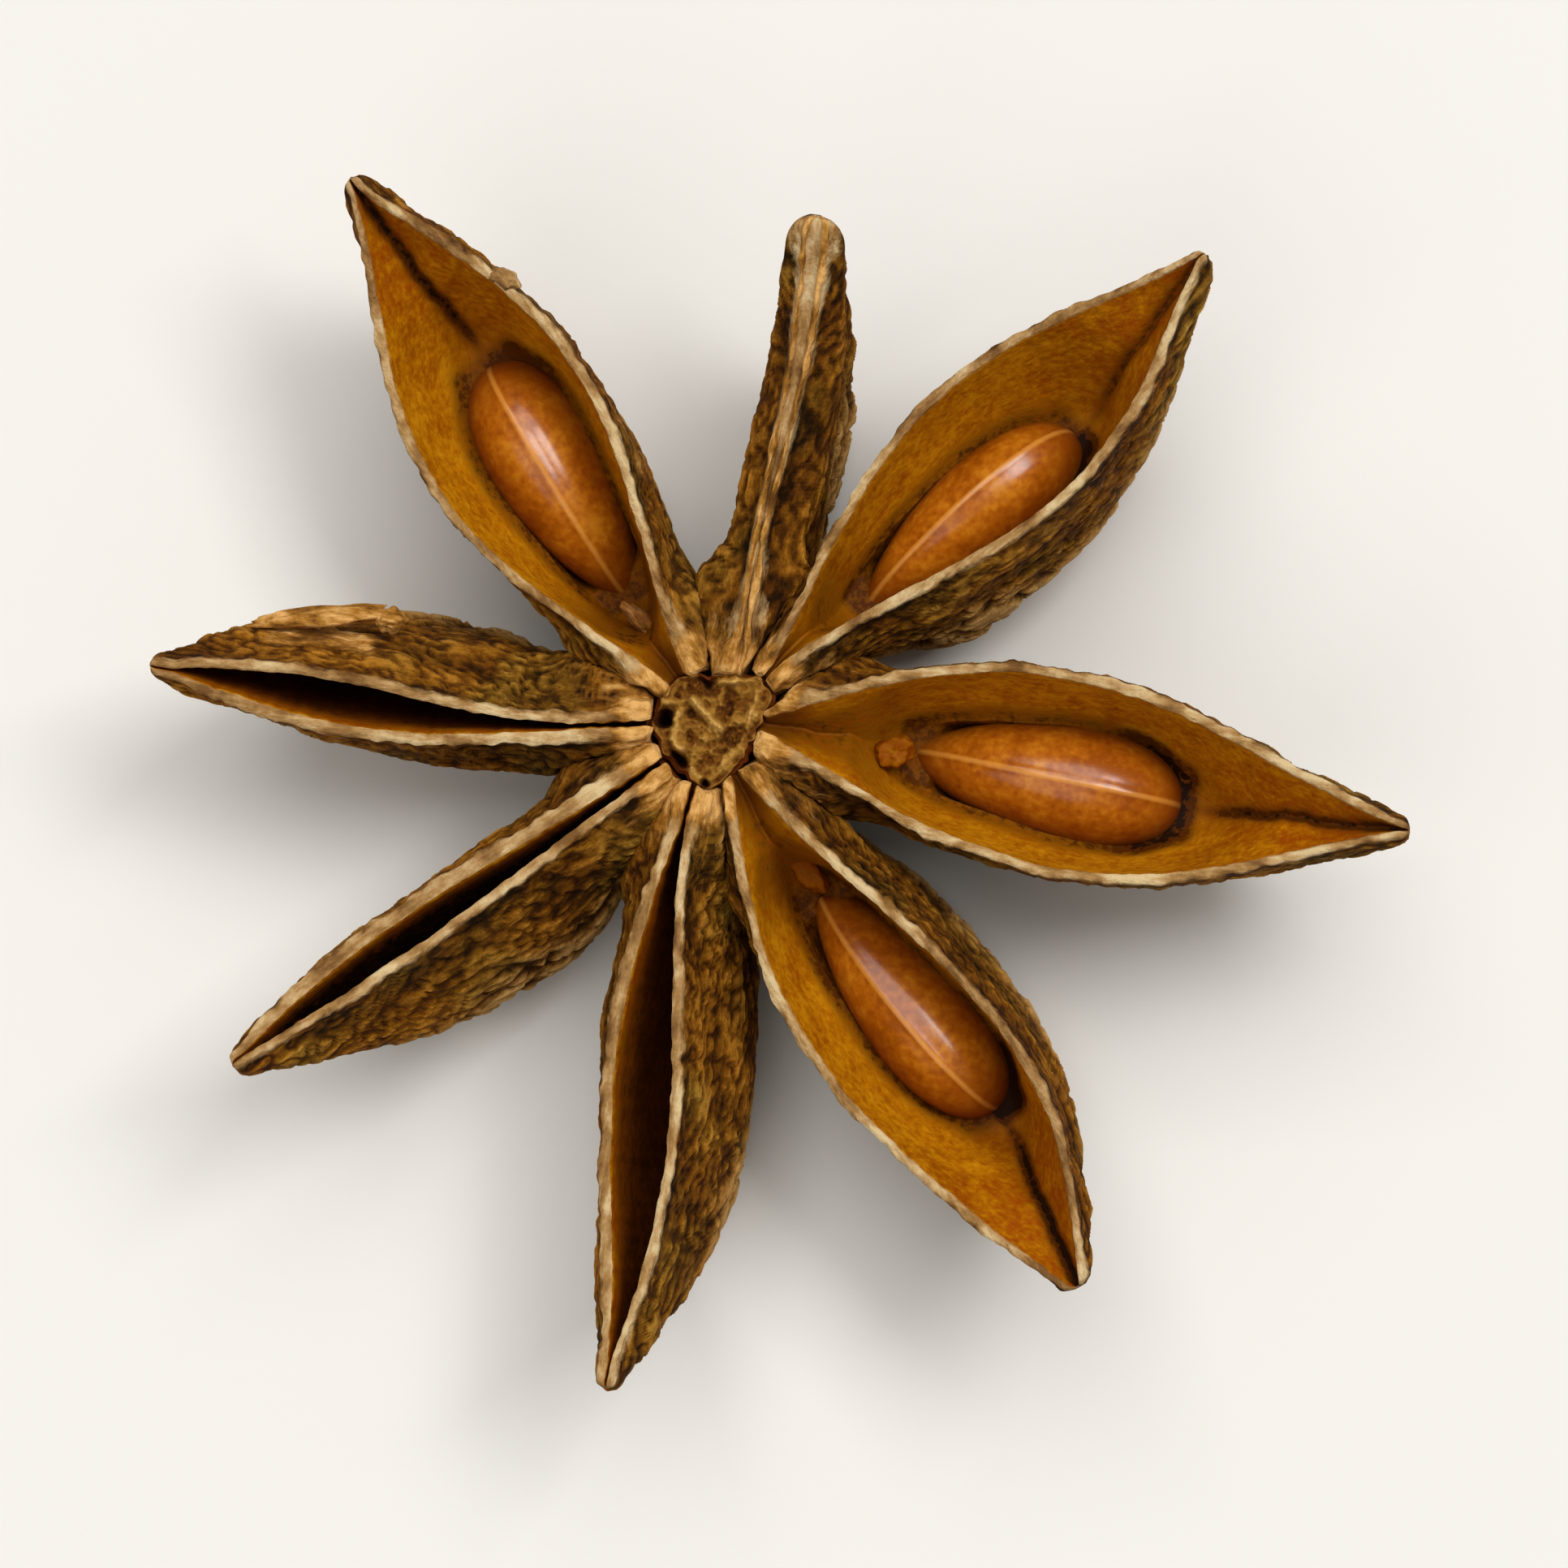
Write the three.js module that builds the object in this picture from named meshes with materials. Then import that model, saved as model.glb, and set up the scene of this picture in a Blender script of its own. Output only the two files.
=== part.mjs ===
// A dried star anise pod: eight boat-shaped follicles set in a star round a short
// central column. Four have split wide open and each holds one glossy seed, three
// have only cracked open along the top, and one is still shut.
// Millimetres, +Z up, resting on the follicles' bellies at z = 0.

import * as THREE from 'three';
import { LoftGeometry } from 'three/addons/geometries/LoftGeometry.js';

// ---- sizes shared by the whole pod ----

const RIM_HEIGHT = 7.5;        // top edges of the follicles, half way out
const HEEL_DROP = 0.5;         // the top edges dip by this much at the column
const HEEL_KEEL = 1.7;         // height of the keel where it meets the column
const KEEL_LOWEST_AT = 0.48;   // how far out the belly touches the ground
const KEEL_HEEL_POWER = 2.2;   // how round the keel is on its way to the column ...
const KEEL_BEAK_POWER = 2.5;   // ... and to the beak
const BEAK_SWEEP = 0.6;        // the keel hollows again by this share under the beak
const GROUND_BITE = 0.1;       // the bellies are flattened by this much where they rest
const BEAK_DEPTH = 0.7;        // depth of the body at the very tip
const BELLY_WIDEST_AT = 0.44;  // the body below the rims swells nearer to the column than they do
const BELLY_SLIMNESS = 0.9;
const RIM_THICKNESS = 0.42;    // the pale cut edge of each wall
const WALL = 0.45;             // wall below the rim
const FLOOR = 0.6;             // wall along the keel
const HEEL_FLOOR = 4.6;        // extra floor where the hollow runs out at the column
const HEEL_RUNOUT = 0.3;       // ... over this fraction of the length
const LEAST_GROOVE = 0.12;     // the seam that runs on over the heel and the beak
const FURROW_DEPTH = 0.13;     // the dried walls pucker in shallow lengthwise furrows ...
const FURROW_SLANT = 5.5;      // ... that drift down by this many radians from heel to beak
const RIM_WAVE = 0.07;         // and the rims rise and fall by this much
const NEIGHBOUR_GAP = 0.3;     // between follicles that press on one another
const PRESSED_LENGTH = 3.2;    // neighbours part beyond this distance from the axis
const PARTING_CURVE = 0.1;     // how fast they part, 1/mm

const SEED_SUNK = 1.75;        // top of a seed below the rims
const SEED_HEIGHT = 4.6;
const SEED_PITCH = 4;          // degrees, the outer end is the higher one
const SEED_RIDGE = 0.12;       // the raphe, a fine ridge along the top
const SEED_RIDGE_WIDTH = 0.22; // as a share of the seed's half thickness
const SEED_FULLNESS = 0.9;     // 1 is an ellipsoid, less is fuller
const SEED_HEEL_TAPER = 0.05;  // the end by the column is the slimmer one

const COLUMN_RADIUS = 1.12;
const COLUMN_CORNER = 0.16;    // how far its three corners stand out
const COLUMN_CORNER_AZIMUTH = 32;
const COLUMN_TOP = 6.9;
const COLUMN_DISH = 0.45;      // the top is hollow between its three ridges
const FOOT_RADIUS = 1.95;      // the column spreads under the follicles' inner ends ...
const FOOT_HEIGHT = 0.85;
const SCAR_RADIUS = 1.1;       // ... and carries the round scar of the stalk
const SCAR_HEIGHT = 0.55;

const RINGS = 18;              // steps along a follicle
const OUTER_POINTS = 7;        // points down one outer wall, keel included
const INNER_POINTS = 5;        // points down one inner wall, without the hollow's floor

const degrees = THREE.MathUtils.degToRad;
const { lerp, smoothstep } = THREE.MathUtils;

// ---- the eight follicles, anticlockwise from the shut one's left ----
//
// azimuth     direction of the tip from the column's axis, degrees from +X
// heel, reach distance of the inner end and of the tip from that axis
// parting     azimuths of the planes where it meets its neighbours, right and left
// gape        widest distance between the middles of its two rims
// widestAt    how far out that is, and slimness how quickly the rims close to the tip
// heelGape    half distance between the rims at the column
// heelShift, bow, sway  sideways course of the seam: at the column, in one arc, in an S
// belly       widest distance across the body below the rims
// roll        degrees that the body is turned about its seam, belly to the left
// tipHeight   height of the seam at the tip, and tipWidth the blunt end's width
// lift        height of the belly above the ground
// seed        from and to along the follicle, thickness, and shift to the left

const FOLLICLES = {
  carpel_1: {
    azimuth: 123.8, heel: 1.6, reach: 17.38, parting: [98, 153],
    gape: 5.3, widestAt: 0.52, slimness: 1.3, heelGape: 0.42,
    heelShift: 0.2, bow: 0.2, sway: 0.1, belly: 5.0, roll: -6, tipHeight: 8.8, tipWidth: 0.55, lift: 0,
    seed: { from: 4.3, to: 11.65, thickness: 3.0, shift: 0 },
  },
  carpel_2: {
    azimuth: 78.2, heel: 1.55, reach: 13.65, parting: [60, 98],
    gape: 0.34, widestAt: 0.5, slimness: 1, heelGape: 0.16, shut: true,
    heelShift: -0.3, bow: -0.1, sway: 0.1, belly: 2.3, roll: -6, tipHeight: 9.6, tipWidth: 1.4,
    lift: 0.4,
  },
  carpel_3: {
    azimuth: 43.7, heel: 2.05, reach: 17.94, parting: [28, 60],
    gape: 4.5, widestAt: 0.55, slimness: 1.25, heelGape: 0.16,
    heelShift: 0.05, bow: 0.15, sway: 0.14, belly: 4.7, roll: -14, tipHeight: 9.1, tipWidth: 0.5, lift: 0,
    seed: { from: 4.9, to: 12.3, thickness: 2.6, shift: 0 },
  },
  carpel_4: {
    azimuth: -8.8, heel: 1.45, reach: 18.57, parting: [-38, 28],
    gape: 5.4, widestAt: 0.47, slimness: 1.25, heelGape: 0.32,
    heelShift: 0.25, bow: 0.02, sway: 0.1, belly: 5.1, roll: -2, tipHeight: 8.4, tipWidth: 0.6, lift: 0,
    seed: { from: 5.0, to: 12.5, thickness: 3.1, shift: 0 },
  },
  carpel_5: {
    azimuth: -57.3, heel: 1.55, reach: 17.68, parting: [-86, -38],
    gape: 4.6, widestAt: 0.54, slimness: 0.95, heelGape: 0.25,
    heelShift: -0.3, bow: -0.25, sway: -0.3, belly: 5.1, roll: 11, tipHeight: 8.6, tipWidth: 1.0, lift: 0,
    seed: { from: 4.9, to: 12.6, thickness: 2.9, shift: -0.05 },
  },
  carpel_6: {
    azimuth: -99.4, heel: 1.9, reach: 17.79, parting: [-124, -86],
    gape: 1.9, widestAt: 0.54, slimness: 1.5, heelGape: 0.17,
    heelShift: -0.35, bow: -0.25, sway: -0.22, belly: 4.3, roll: 11, tipHeight: 8.2, tipWidth: 0.5, lift: 0.25,
  },
  carpel_7: {
    azimuth: -144.9, heel: 1.7, reach: 15.62, parting: [-166, -124],
    gape: 1.1, widestAt: 0.6, slimness: 1.1, heelGape: 0.2,
    heelShift: -0.05, bow: -0.14, sway: 0.05, belly: 4.0, roll: 11, tipHeight: 8.5, tipWidth: 0.6, lift: 0,
  },
  carpel_8: {
    azimuth: 174.1, heel: 1.75, reach: 15.08, parting: [153, 194],
    gape: 1.4, widestAt: 0.66, slimness: 1.6, heelGape: 0.16,
    heelShift: 0.1, bow: 0.52, sway: 0.12, belly: 4.1, roll: -12, tipHeight: 8.3, tipWidth: 0.5, lift: 0.3,
  },
};

// 0 at both ends and 1 at the fraction `peak` of the length; a high power is a slim one.
function swell(t, peak, power) {
  const stretched = t ** (Math.log(0.5) / Math.log(peak));
  return Math.sin(Math.PI * stretched) ** power;
}

// The smaller of two lengths, with the corner between them rounded.
function softMin(a, b) {
  const sharpness = 6;
  return -Math.log(Math.exp(-sharpness * a) + Math.exp(-sharpness * b)) / sharpness;
}

function seamHeight(f, t) {
  const dip = HEEL_DROP * (1 - t / 0.4) ** 2 * (t < 0.4);
  const beakRise = (f.tipHeight - RIM_HEIGHT) * t ** 4;
  const wave = RIM_WAVE * Math.sin(9 * t + f.azimuth) * Math.sin(Math.PI * t);
  return RIM_HEIGHT - dip + beakRise + wave;
}

function keelHeight(f, t) {
  const low = f.lift - GROUND_BITE;
  if (t < KEEL_LOWEST_AT) {
    return low + (HEEL_KEEL - low) * (1 - t / KEEL_LOWEST_AT) ** KEEL_HEEL_POWER;
  }
  const u = (t - KEEL_LOWEST_AT) / (1 - KEEL_LOWEST_AT);
  const sweep = 1 + BEAK_SWEEP - BEAK_SWEEP * u ** 2;
  return low + (f.tipHeight - BEAK_DEPTH - low) * u ** KEEL_BEAK_POWER * sweep;
}

function seamCourse(f, t) {
  const settle = f.heelShift * (1 - t) ** 2;
  return settle + f.bow * Math.sin(Math.PI * t) + f.sway * Math.sin(2 * Math.PI * t);
}

// The body turns about its seam between the column, where it can't, and here.
function turnAt(f, t) {
  return degrees(f.roll) * smoothstep(t, 0, 0.35);
}

function bodyDepth(f, t) {
  return (seamHeight(f, t) - keelHeight(f, t)) / Math.cos(turnAt(f, t));
}

function hollowDepth(f, t) {
  const runout = HEEL_FLOOR * Math.max(0, 1 - t / HEEL_RUNOUT) ** 2;
  return f.shut ? LEAST_GROOVE : Math.max(LEAST_GROOVE, bodyDepth(f, t) - FLOOR - runout);
}

// One wall seen end on: half width and depth at an angle from the rim, 0, to the keel, 90.
function wallPoint(angle, rimHalf, bellyHalf, depth, fullness) {
  const sunk = Math.sin(angle);
  const half = lerp(rimHalf, bellyHalf, smoothstep(sunk, 0, 0.5)) * Math.cos(angle) ** fullness;
  return [half, -depth * sunk];
}

// How far the outer wall stands out or in at an angle below the rim.
function furrow(f, t, angle) {
  const course = Math.sin(8 * angle + FURROW_SLANT * t + f.azimuth);
  return FURROW_DEPTH * course * Math.sin(2 * angle) * Math.sin(Math.PI * t);
}

// The closed outline of a follicle at t, from the keel up its left side, in the follicle's frame.
function follicleSection(f, t) {
  const depth = bodyDepth(f, t);
  const opening = f.gape / 2 - f.heelGape;
  const tipHalf = f.tipWidth / 2;
  const rimMiddle = lerp(f.heelGape, tipHalf * 0.5, t) + opening * swell(t, f.widestAt, f.slimness);
  const bellyHalf = tipHalf + (f.belly / 2 - tipHalf) * swell(t, BELLY_WIDEST_AT, BELLY_SLIMNESS);
  const rimOuter = rimMiddle + RIM_THICKNESS / 2;
  const rimInner = Math.max(rimMiddle - RIM_THICKNESS / 2, 0.06);
  const innerBelly = Math.max(bellyHalf - WALL, rimInner * 0.8);
  const innerFullness = lerp(0.5, 1.15, smoothstep(t, 0.6, 0.85));

  const outer = [];
  for (let i = 1; i <= OUTER_POINTS; i += 1) {
    const angle = (1 - i / OUTER_POINTS) * Math.PI / 2;
    const [half, down] = wallPoint(angle, rimOuter, Math.max(bellyHalf, rimOuter * 0.9), depth, 0.75);
    outer.push([half + furrow(f, t, angle), down]);
  }
  const inner = [];
  for (let i = 0; i < INNER_POINTS; i += 1) {
    const angle = (i / INNER_POINTS) * Math.PI / 2;
    inner.push(wallPoint(angle, rimInner, innerBelly, hollowDepth(f, t), innerFullness));
  }
  const left = [...outer, ...inner];
  const right = left.map(([half, z]) => [-half, z]).reverse();
  return [[0, -depth], ...left, [0, -hollowDepth(f, t)], ...right];
}

// Turns a section point about the seam and presses it against the neighbouring follicles.
function settlePoint(f, t, [side, down]) {
  const turn = turnAt(f, t);
  const x = lerp(f.heel, f.reach, t);
  let y = seamCourse(f, t) + side * Math.cos(turn) - down * Math.sin(turn);
  const z = seamHeight(f, t) + side * Math.sin(turn) + down * Math.cos(turn);

  const parted = PARTING_CURVE * Math.max(0, x - PRESSED_LENGTH) ** 2 - NEIGHBOUR_GAP / 2;
  const [right, left] = f.parting.map((azimuth) => Math.tan(degrees(Math.abs(azimuth - f.azimuth))));
  y = softMin(y, x * left + parted);
  y = -softMin(-y, x * right + parted);
  return new THREE.Vector3(x, y, Math.max(z, 0));
}

function follicleGeometry(f) {
  const sections = [];
  for (let i = 0; i <= RINGS; i += 1) {
    const t = i / RINGS;
    sections.push(follicleSection(f, t).map((point) => settlePoint(f, t, point)));
  }
  return new LoftGeometry(sections, { closed: true, capStart: true, capEnd: true });
}

// ---- seeds ----

const SEED_AROUND = 18;
const SEED_ALONG = 12;

function fuller(value) {
  return Math.sign(value) * Math.abs(value) ** SEED_FULLNESS;
}

function seedGeometry(seed) {
  const geometry = new THREE.SphereGeometry(1, SEED_AROUND, SEED_ALONG);
  geometry.rotateZ(-Math.PI / 2);
  const place = geometry.getAttribute('position');
  const halfLength = (seed.to - seed.from) / 2;
  for (let i = 0; i < place.count; i += 1) {
    const along = place.getX(i);
    const across = place.getY(i);
    const up = place.getZ(i);
    const slim = 1 + SEED_HEEL_TAPER * along;
    const ridge = SEED_RIDGE * Math.exp(-((across / SEED_RIDGE_WIDTH) ** 2)) * Math.max(0, up);
    place.setXYZ(
      i,
      along * halfLength,
      fuller(across) * slim * seed.thickness / 2,
      fuller(up) * slim * SEED_HEIGHT / 2 + ridge,
    );
  }
  geometry.computeVertexNormals();
  return geometry;
}

// A seed lies along the hollow that holds it, its outer end a little raised.
function placeSeed(mesh, f) {
  const depth = SEED_SUNK + SEED_HEIGHT / 2;
  const [heelEnd, beakEnd] = [f.seed.from, f.seed.to].map((x) => {
    const t = (x - f.heel) / (f.reach - f.heel);
    return settlePoint(f, t, [f.seed.shift, -depth]);
  });
  const course = Math.atan2(beakEnd.y - heelEnd.y, beakEnd.x - heelEnd.x);
  mesh.position.addVectors(heelEnd, beakEnd).multiplyScalar(0.5);
  mesh.rotation.set(degrees(f.roll), degrees(-SEED_PITCH), course, 'ZYX');
}

// ---- column ----

const COLUMN_AROUND = 24;

// One level of the column. Its three corners fade out in the round foot, and `relief`
// sinks what lies between them.
function columnRing(radius, height, corners, relief) {
  const ring = [];
  for (let i = 0; i < COLUMN_AROUND; i += 1) {
    const azimuth = (i / COLUMN_AROUND) * 2 * Math.PI;
    const corner = Math.cos(3 * (azimuth - degrees(COLUMN_CORNER_AZIMUTH)));
    const reach = radius * (1 + corners * corner);
    const z = height + relief * (corner - 1) / 2;
    ring.push(new THREE.Vector3(reach * Math.cos(azimuth), reach * Math.sin(azimuth), z));
  }
  return ring;
}

// From the stalk scar up the side and in over the top, where three ridges meet in a Y.
function columnGeometry() {
  const corners = COLUMN_CORNER / COLUMN_RADIUS;
  const rings = [
    columnRing(SCAR_RADIUS * 0.5, SCAR_HEIGHT, 0, 0),
    columnRing(SCAR_RADIUS, SCAR_HEIGHT + 0.05, 0, 0),
    columnRing(FOOT_RADIUS, FOOT_HEIGHT, 0, 0),
    columnRing(FOOT_RADIUS * 0.95, FOOT_HEIGHT + 0.2, 0, 0),
    columnRing(COLUMN_RADIUS, FOOT_HEIGHT + 0.9, corners, 0),
    columnRing(COLUMN_RADIUS, COLUMN_TOP - 0.35, corners, 0),
    columnRing(COLUMN_RADIUS * 0.93, COLUMN_TOP, corners, 0.1),
    columnRing(COLUMN_RADIUS * 0.7, COLUMN_TOP - 0.05, corners, COLUMN_DISH),
    columnRing(COLUMN_RADIUS * 0.4, COLUMN_TOP - 0.05, corners, COLUMN_DISH * 0.8),
    columnRing(COLUMN_RADIUS * 0.12, COLUMN_TOP, corners, 0.1),
  ];
  return new LoftGeometry(rings, { closed: true, capStart: true, capEnd: true });
}

// ---- the pod ----

const huskFinish = new THREE.MeshStandardMaterial({ color: '#6b4a26', roughness: 0.85, metalness: 0 });
const seedFinish = new THREE.MeshStandardMaterial({ color: '#a85c1a', roughness: 0.3, metalness: 0 });
const columnFinish = new THREE.MeshStandardMaterial({ color: '#8a6a3a', roughness: 0.85, metalness: 0 });

function named(name, geometry, finish) {
  const mesh = new THREE.Mesh(geometry, finish);
  mesh.name = name;
  return mesh;
}

const pod = new THREE.Group();
pod.add(named('column', columnGeometry(), columnFinish));

for (const [name, follicle] of Object.entries(FOLLICLES)) {
  const arm = new THREE.Group();
  arm.rotation.z = degrees(follicle.azimuth);
  arm.add(named(name, follicleGeometry(follicle), huskFinish));
  if (follicle.seed) {
    const seed = named(name.replace('carpel', 'seed'), seedGeometry(follicle.seed), seedFinish);
    placeSeed(seed, follicle);
    arm.add(seed);
  }
  pod.add(arm);
}

// The origin is on the ground, under the middle of the star's outline.
const middle = new THREE.Box3().setFromObject(pod, true).getCenter(new THREE.Vector3());
pod.position.set(-middle.x, -middle.y, 0);

export default pod;
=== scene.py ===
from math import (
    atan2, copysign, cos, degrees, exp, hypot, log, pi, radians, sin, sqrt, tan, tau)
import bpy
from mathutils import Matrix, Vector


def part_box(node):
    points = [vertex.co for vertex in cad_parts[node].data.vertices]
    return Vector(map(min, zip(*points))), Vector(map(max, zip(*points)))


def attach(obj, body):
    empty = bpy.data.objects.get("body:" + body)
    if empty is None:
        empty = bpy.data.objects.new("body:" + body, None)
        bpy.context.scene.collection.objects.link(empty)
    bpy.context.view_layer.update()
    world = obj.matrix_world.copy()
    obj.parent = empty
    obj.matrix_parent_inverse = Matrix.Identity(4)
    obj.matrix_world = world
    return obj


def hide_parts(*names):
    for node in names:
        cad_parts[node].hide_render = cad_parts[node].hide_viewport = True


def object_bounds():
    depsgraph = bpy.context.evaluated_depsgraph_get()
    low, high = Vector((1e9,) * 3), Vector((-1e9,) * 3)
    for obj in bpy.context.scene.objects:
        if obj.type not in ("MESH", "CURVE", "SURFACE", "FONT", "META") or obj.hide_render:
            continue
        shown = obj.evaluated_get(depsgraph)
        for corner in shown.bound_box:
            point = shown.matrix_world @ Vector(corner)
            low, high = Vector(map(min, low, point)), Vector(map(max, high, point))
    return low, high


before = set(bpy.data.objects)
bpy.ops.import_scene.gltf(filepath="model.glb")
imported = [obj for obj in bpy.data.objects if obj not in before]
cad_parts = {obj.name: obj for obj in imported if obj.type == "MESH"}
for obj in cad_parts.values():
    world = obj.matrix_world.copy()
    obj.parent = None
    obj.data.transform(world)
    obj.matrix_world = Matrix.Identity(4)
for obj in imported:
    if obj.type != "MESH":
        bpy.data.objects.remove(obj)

# A dried star anise pod: eight woody follicles set in a star round a short column.
# Four are wide open with a glossy seed in each, three are cracked along the seam and
# one is shut. Lengths below are millimetres until the meshes are made, in metres.

from types import SimpleNamespace

import bmesh
import bpy
from mathutils import Matrix, Vector, noise

CAD_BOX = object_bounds()
MM = 0.001

# ---- the form of a follicle ----

RIM_HEIGHT = 7.5          # top edges of the follicles, half way out
HEEL_DROP = 0.5           # they dip by this much at the column
HEEL_KEEL = 1.7           # height of the keel at the column
KEEL_LOWEST_AT = 0.48     # how far out the belly touches the ground
KEEL_HEEL_POWER = 2.2     # how late it rises from there to the column ...
KEEL_BEAK_POWER = 2.5     # ... and to the beak
BEAK_SWEEP = 0.6          # the keel hollows again under the beak
BEAK_DEPTH = 0.7          # depth of the body at the very tip
GROUND_BITE = 0.1         # the bellies are flattened by this much where they rest
BELLY_WIDEST_AT = 0.44    # how far out the body is widest
BELLY_SLIMNESS = 0.9      # how quickly it narrows to both ends
RIM_THICKNESS = 0.29      # the cut edge of each wall
RIM_AT_BEAK = 0.6         # its share of that at the very tip ...
RIM_OF_SHUT = 0.6         # ... and all along the shut follicle
RIM_CROWN = 0.07          # how far the rims bulge ...
SUTURE_CROWN = 0.16       # ... and those of the shut one
RIM_WAVE = 0.07           # they rise and fall by this much
RIM_WANDER = 0.045        # and wander sideways
RIM_FRAY = 0.038          # on a finer scale too
RIM_UNEVEN = 0.35         # their width varies by this share ...
RIM_UNEVEN_FINE = 0.22    # ... and on a finer scale by this one
WALL = 0.45               # thickness of the flanks of the narrow follicles
FLOOR = 0.6               # and of every follicle along the keel
HEEL_FLOOR = 4.6          # extra floor where the hollow runs out at the column
HEEL_RUNOUT = 0.3         # it runs out over this share of the length
LEAST_GROOVE = 0.6        # the seam that runs on over the heel and the beak
SEAM_GROOVE = 0.05        # the closed seam of the shut one
LEAST_GAP = 0.06          # half the width of the closed seam ...
TIP_GAP = 0.012           # ... and at the tip, where the rims meet
PAD_LENGTH = 1.7          # each rim widens to a pad over this length at the column
PAD_LUMP = 0.1            # and is this lumpy there
CROWDED = (2.6, 5.4)      # the bodies fill the space between them up to here, and from here not
CROWDED_BELLY = 2.4       # half width that they would have if they didn't press on each other
CROWDED_SHOULDER = 0.14   # how soon they reach it below the rims, as a share of their depth
COLUMN_CRACK = 0.05       # between the column and the inner ends
HEEL_FLARE = 1.4          # the inner ends follow the column's outline over this length
FURROW_DEPTH = 0.13       # shallow lengthwise furrows of the dried walls ...
FURROW_SLANT = 5.5        # ... that drift down by this many radians from heel to beak
NEIGHBOUR_GAP = 0.06      # between neighbours that press on each other
PRESSED_LENGTH = 3.2      # they part beyond this distance from the axis ...
PARTING_CURVE = 0.1       # ... by this much times the square of the distance past it
HEEL_ROUND = 0.16         # rounding of the inner end
END_SHRUNK = 0.96         # an end is rounded by this share of its radius, then cut flat
MOST_NARROWED = 0.97      # that takes at most this share off the width ...
MOST_LOWERED = 0.46       # ... and off the depth, from above and again from below

SEED_SUNK = 1.75          # top of a seed below the rims
SEED_HEIGHT = 4.6
SEED_BLUNTNESS = 0.85     # its height falls off to the ends as this power of its width
SEED_FULLNESS = 0.86      # 1 is an ellipse in section, less is fuller
SEED_ROOF = 0.12          # slope of the coat to both sides of its raphe ...
SEED_ROOF_HALF = 0.8      # ... as far as this
SOCKET_GRIP = 0.05        # the lip of the socket presses on the seed by this much ...
SOCKET_STRAY = 0.08       # ... and gapes by as much as this in places
LIP_RISE = 0.52           # the lip is this share of the seed's half height above its middle
WALL_FOOT = 0.7           # half width of the bowl at the seed's ends, as a share of the seed's
BOWL_BOTTOM = 0.12        # depth of that bowl below the lip, as a share of its half width
LIP_BLEND = 12            # how sharply one width of the lip takes over from another
SLOT_SWELL = 0.35         # the narrow hollows are wider than their mouths by this much
SOCKET_FADE = (1.6, 2.8)  # the socket closes over this length past its heel and beak ends
BEAK_GROOVE = 1.2         # depth of the groove past the seed, over its half width
GROOVE_BOTTOM = 0.13      # half width of its round bottom
GROOVE_STRAY = 0.22       # it strays sideways by this much

# azimuth     direction of the tip from the column's axis, degrees from +X
# heel, reach  distance of the inner end and of the tip from that axis
# parting     azimuths of the planes where it meets its neighbours, right and left
# gape        widest distance between the middles of its two rims
# widest_at   how far out that is, and slimness how quickly the rims close to the tip
# heel_gape   half distance between the rims at the column, pads their width there
# shift, bow, sway  sideways course of the seam: at the column, in one arc, in an S
# belly       widest distance across the body below the rims
# shoulder    where that is reached, as a share of the depth
# roll        degrees that the body is turned about its seam, belly to the left
# tip_height, tip_width  height of the tip, and width of the body there
# tip_round   radius of its rounding
# lift        height of the keel above the ground where it is lowest
# shut        whether the seam is closed
# seed        from and to along the follicle, thickness, and shift to the left
# pitch       degrees by which the seed's outer end is the higher one
# rims        thickness of the rims, right and left, as shares of RIM_THICKNESS
# crease      painted shade in the fold that runs from the seed to the tip, or in the narrow hollow
# gap         how much painted shade darkens the lining by the seed's outer end, right and left
# torn        places where the skin is torn off or rolled up: from and to along the follicle,
#             side (1 left, -1 right), from and to down the outer wall, how bare, how high

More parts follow.
